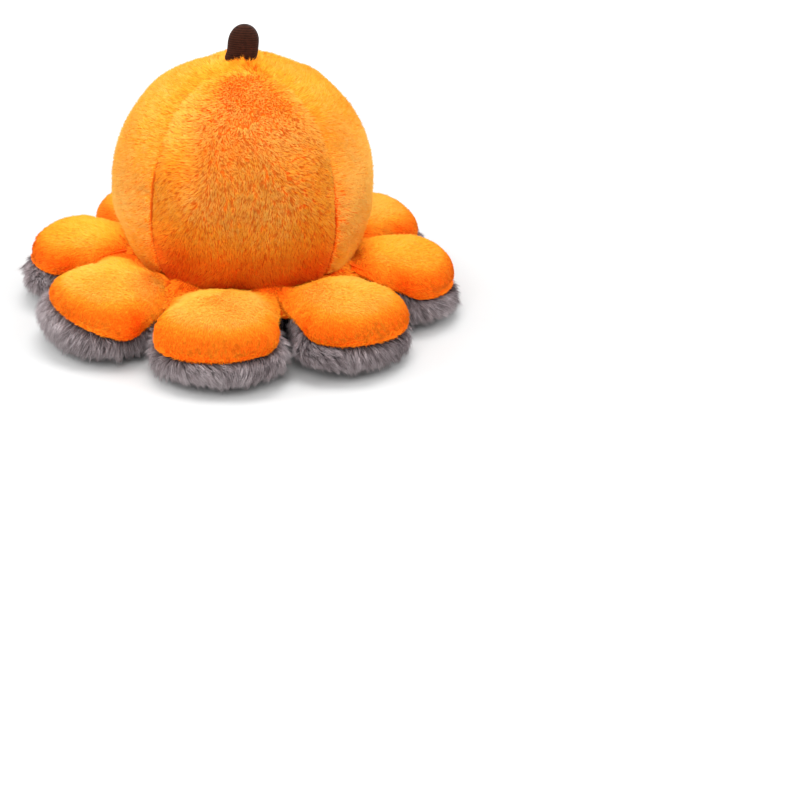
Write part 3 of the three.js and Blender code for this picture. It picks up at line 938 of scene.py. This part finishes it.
def crease_ring():
    """The orange cloth in the crease, raised and folded between the petals."""
    rng = np.random.default_rng(RING_SEED)
    reach, turn = polar_grid(RING_ROWS, RING_COLUMNS)
    gap = 0.5 - 0.5 * np.cos(PETAL_COUNT * turn)
    radius = RING_INNER + (RING_OUTER - RING_INNER) * reach
    past = np.maximum(radius - RING_EDGE, 0)
    folds = FOLD_DEPTH * np.cos(RING_FOLDS * turn) * gap * smooth(51.0, 55.0, radius)
    points = spoke(turn) * radius[:, None]
    height = RING_HEIGHT + RING_RISE * gap - RING_SLOPE * past - RING_CURVE * past**2
    height += folds + 0.4 * ripples(points, 7, 81)
    points[:, 2] = height + RING_TUCK * np.sqrt(gap) * smooth(54.0, 48.5, radius)
    heap = Heap()
    # painted shade: the ring's skin and strands take low tones, for the shade of the crease
    tone = pile_skin_tone(points, 0.36)
    quads, normals = add_skin(heap, points, RING_ROWS, RING_COLUMNS, True, RING_LINING, tone)
    weight = smooth(48.0, 50.5, radius) * (0.1 + 0.9 * gap)
    places, facing = scatter(points, quads, normals, RING_STRANDS, rng, weight)
    flow = laid(unit(places * LEVEL) - 0.4 * UP, facing)
    add_strands(heap, places, facing, flow, rng, PILE, 0.4 + 0.04 * ripples(places, 14, 37))
    piece = heap.piece("crease_collar_plush", ORANGE)
    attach(piece, "head")
    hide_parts("crease_collar")


def pocket_panel(index):
    """One fur panel of the pocket: a wall up from the mouth, then a dome."""
    rng = np.random.default_rng(POCKET_SEED + index)
    middle = panel_middle(index)
    turns = np.linspace(middle - HALF_PANEL, middle + HALF_PANEL, POCKET_COLUMNS)
    rise, turn = np.meshgrid(np.linspace(0, 1, POCKET_ROWS), turns, indexing="ij")
    rise, turn = rise.ravel(), turn.ravel()
    wall = np.clip(rise / POCKET_WALL, 0, 1)
    dome = np.clip((rise - POCKET_WALL) / (1 - POCKET_WALL), 0, 1) * POCKET_FALL
    on_wall = rise < POCKET_WALL
    wall_radius = POCKET_MOUTH + (POCKET_RADIUS - POCKET_MOUTH) * wall
    wall_height = MOUTH_HEIGHT + (POCKET_CENTRE - MOUTH_HEIGHT) * wall
    dome_height = POCKET_CENTRE + (POCKET_RADIUS + POCKET_BACK) * np.sin(dome)
    radius = np.where(on_wall, wall_radius, POCKET_RADIUS * np.cos(dome)) + POCKET_BACK * np.cos(dome)
    points = spoke(turn) * radius[:, None]
    points[:, 2] = np.where(on_wall, wall_height, dome_height)
    heap = Heap()
    tone = fur_skin_tone(points)
    quads, normals = add_skin(heap, points, POCKET_ROWS, POCKET_COLUMNS, False, FUR_LINING, tone)
    places, facing = scatter(points, quads, normals, POCKET_STRANDS, rng)
    flow = laid(unit(places * LEVEL) * 0.5 - UP, facing)
    flow = turned(unit(flow), facing, 0.4 * ripples(places, 15, 72 + index))
    add_strands(heap, places, facing, flow, rng, POCKET_FUR, 0.45 + 0.1 * ripples(places, 12, 63))
    piece = heap.piece(f"pocket_panel_{index + 1}_fur", GREY)
    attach(piece, "head")
    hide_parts(f"pocket_panel_{index + 1}")


def under_ring():
    """The furry ring round the pocket's mouth."""
    rng = np.random.default_rng(UNDER_SEED)
    rows = len(UNDER_OUTLINE)
    turn = np.tile(np.linspace(0, 2 * np.pi, UNDER_COLUMNS, endpoint=False), rows)
    points = spoke(turn) * np.repeat(UNDER_OUTLINE[:, 0], UNDER_COLUMNS)[:, None]
    points[:, 2] = np.repeat(UNDER_OUTLINE[:, 1], UNDER_COLUMNS)
    heap = Heap()
    quads, normals = add_skin(heap, points, rows, UNDER_COLUMNS, True, FUR_LINING, fur_skin_tone(points))
    places, facing = scatter(points, quads, normals, UNDER_STRANDS, rng)
    flow = laid(unit(places * LEVEL) * 0.8 - 0.3 * UP, facing)
    flow = turned(unit(flow), facing, 0.5 * ripples(places, 12, 76))
    add_strands(heap, places, facing, flow, rng, UNDER_FUR, 0.45 + 0.1 * ripples(places, 12, 64))
    piece = heap.piece("under_collar_fur", GREY)
    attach(piece, "head")
    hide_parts("under_collar")


# Stem

def stem_face(side):
    """One sewn face of the stem: a rounded tab that swells towards the front (-1) or the rear (+1)."""
    rise, turn = polar_grid(STEM_ROWS, STEM_COLUMNS)
    power = np.where(np.sin(turn) > 0, 2 / STEM_TOP_ROUNDING, 2 / STEM_FOOT_ROUNDING)
    across = np.sign(np.cos(turn)) * np.abs(np.cos(turn)) ** power
    up = np.sign(np.sin(turn)) * np.abs(np.sin(turn)) ** power
    share = np.maximum(np.sin(rise * np.pi / 2), 0.01)
    swell = np.cos(rise * np.pi / 2) ** STEM_SWELL * (STEM_THICKNESS / 2 - 0.1)
    foot = STEM_FOOT - STEM_TUCK
    x = share * across * STEM_SHARE * STEM_WIDTH / 2
    z = (STEM_HEIGHT - STEM_CUT) / 2 * (1 + share * up)
    flare = smooth(4.0, 0.0, z)
    x = x - STEM_FLARE * flare * (x < 0) + STEM_LEAN * z
    z = z - STEM_SAG * flare * smooth(2.0, -6.0, x)
    points = np.stack([x, side * (STEM_SEAM + swell), foot + z], axis=1)
    if side < 0:
        points = points.reshape(STEM_ROWS, STEM_COLUMNS, 3)[:, ::-1].reshape(-1, 3)
    heap = Heap()
    add_skin(heap, points, STEM_ROWS, STEM_COLUMNS, True, STEM_LINING, np.full(len(points), 0.5))
    name = "stem_front_panel" if side < 0 else "stem_rear_panel"
    piece = heap.piece(f"{name}_cloth", BROWN)
    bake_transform(piece)
    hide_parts(name, *(["stem_filling"] if side < 0 else []))


# Stage, light and camera

def shown_rays(nodes, links):
    """1 for rays that show the surface itself, straight on, in gloss or through glass."""
    path = nodes.new("ShaderNodeLightPath")
    most = nodes.new("ShaderNodeMath")
    most.operation = "MAXIMUM"
    links.new(path.outputs["Is Camera Ray"], most.inputs[0])
    links.new(path.outputs["Is Glossy Ray"], most.inputs[1])
    also = nodes.new("ShaderNodeMath")
    also.operation = "MAXIMUM"
    links.new(most.outputs["Value"], also.inputs[0])
    links.new(path.outputs["Is Transmission Ray"], also.inputs[1])
    return also.outputs["Value"]


def make_floor():
    mesh = bpy.data.meshes.new("floor")
    corners = [(x * FLOOR_HALF, y * FLOOR_HALF, 0) for x, y in ((-1, -1), (1, -1), (1, 1), (-1, 1))]
    mesh.from_pydata(corners, [], [(0, 1, 2, 3)])
    floor = bpy.data.objects.new("floor", mesh)
    bpy.context.scene.collection.objects.link(floor)
    material, nodes, links, shader = new_material("floor_white")
    place = nodes.new("ShaderNodeNewGeometry")
    away = nodes.new("ShaderNodeVectorMath")
    away.operation = "LENGTH"
    links.new(place.outputs["Position"], away.inputs[0])
    colour = ramp(nodes, links, away.outputs["Value"], [(far, (grey,) * 3) for far, grey in FLOOR_GREYS])
    links.new(colour, shader.inputs["Base Color"])
    set_inputs(shader, {"Roughness": 0.9, "Specular IOR Level": 0.0})
    mesh.materials.append(material)


def make_world():
    """Soft light from all round, which shows as plain white."""
    world = bpy.data.worlds.new("studio")
    bpy.context.scene.world = world
    world.use_nodes = True
    nodes, links = world.node_tree.nodes, world.node_tree.links
    background = nodes["Background"]
    background.inputs["Color"].default_value = (1, 1, 1, 1)
    strength = nodes.new("ShaderNodeMapRange")
    links.new(shown_rays(nodes, links), strength.inputs["Value"])
    set_inputs(strength, {"To Min": WORLD_STRENGTH, "To Max": 1.0})
    links.new(strength.outputs["Result"], background.inputs["Strength"])


def make_lights():
    for name, place, size, power in LIGHTS:
        data = bpy.data.lights.new(name, "AREA")
        data.shape = "DISK"
        data.size = size
        data.energy = power
        lamp = bpy.data.objects.new(name, data)
        lamp.location = place
        lamp.rotation_mode = "QUATERNION"
        lamp.rotation_quaternion = (Vector(LIGHT_AIM) - Vector(place)).to_track_quat("-Z", "Y")
        bpy.context.scene.collection.objects.link(lamp)


def make_camera():
    """Aims the camera so that the ball's centre falls on its pixel."""
    data = bpy.data.cameras.new("camera")
    data.lens = CAMERA_LENS
    data.sensor_width = SENSOR
    data.clip_start, data.clip_end = 0.01, 100
    camera = bpy.data.objects.new("camera", data)
    bpy.context.scene.collection.objects.link(camera)
    bpy.context.scene.camera = camera
    a, e = CAMERA_AZIMUTH, CAMERA_ELEVATION
    back = Vector((math.sin(a) * math.cos(e), -math.cos(a) * math.cos(e), math.sin(e)))
    right = Vector((math.cos(a), math.sin(a), 0))
    facing = Matrix((right, back.cross(right), back)).transposed()
    focal = CAMERA_LENS / SENSOR * IMAGE
    sight = Vector((HEAD_PIXEL[0] - IMAGE / 2, IMAGE / 2 - HEAD_PIXEL[1], -focal)).normalized()
    pan = sight.rotation_difference(Vector((0, 0, -1))).to_matrix()
    camera.rotation_mode = "QUATERNION"
    camera.rotation_quaternion = (facing @ pan).to_quaternion()
    camera.location = (Vector((0, 0, HEAD_CENTRE)) + back * CAMERA_DISTANCE) * MM


make_camera()
make_floor()
make_world()
make_lights()
bpy.context.scene.view_settings.view_transform = "Standard"

head_shape, *pad_shapes = swollen([head_form(), *(pad_form(petal) for petal in range(PETAL_COUNT))])
for panel in range(PANEL_COUNT):
    head_panel(panel, head_shape)
    pocket_panel(panel)
crease_ring()
under_ring()
for petal in range(PETAL_COUNT):
    petal_top(petal, pad_shapes[petal])
    petal_underside(petal)
stem_face(-1)
stem_face(1)

bpy.context.view_layer.update()
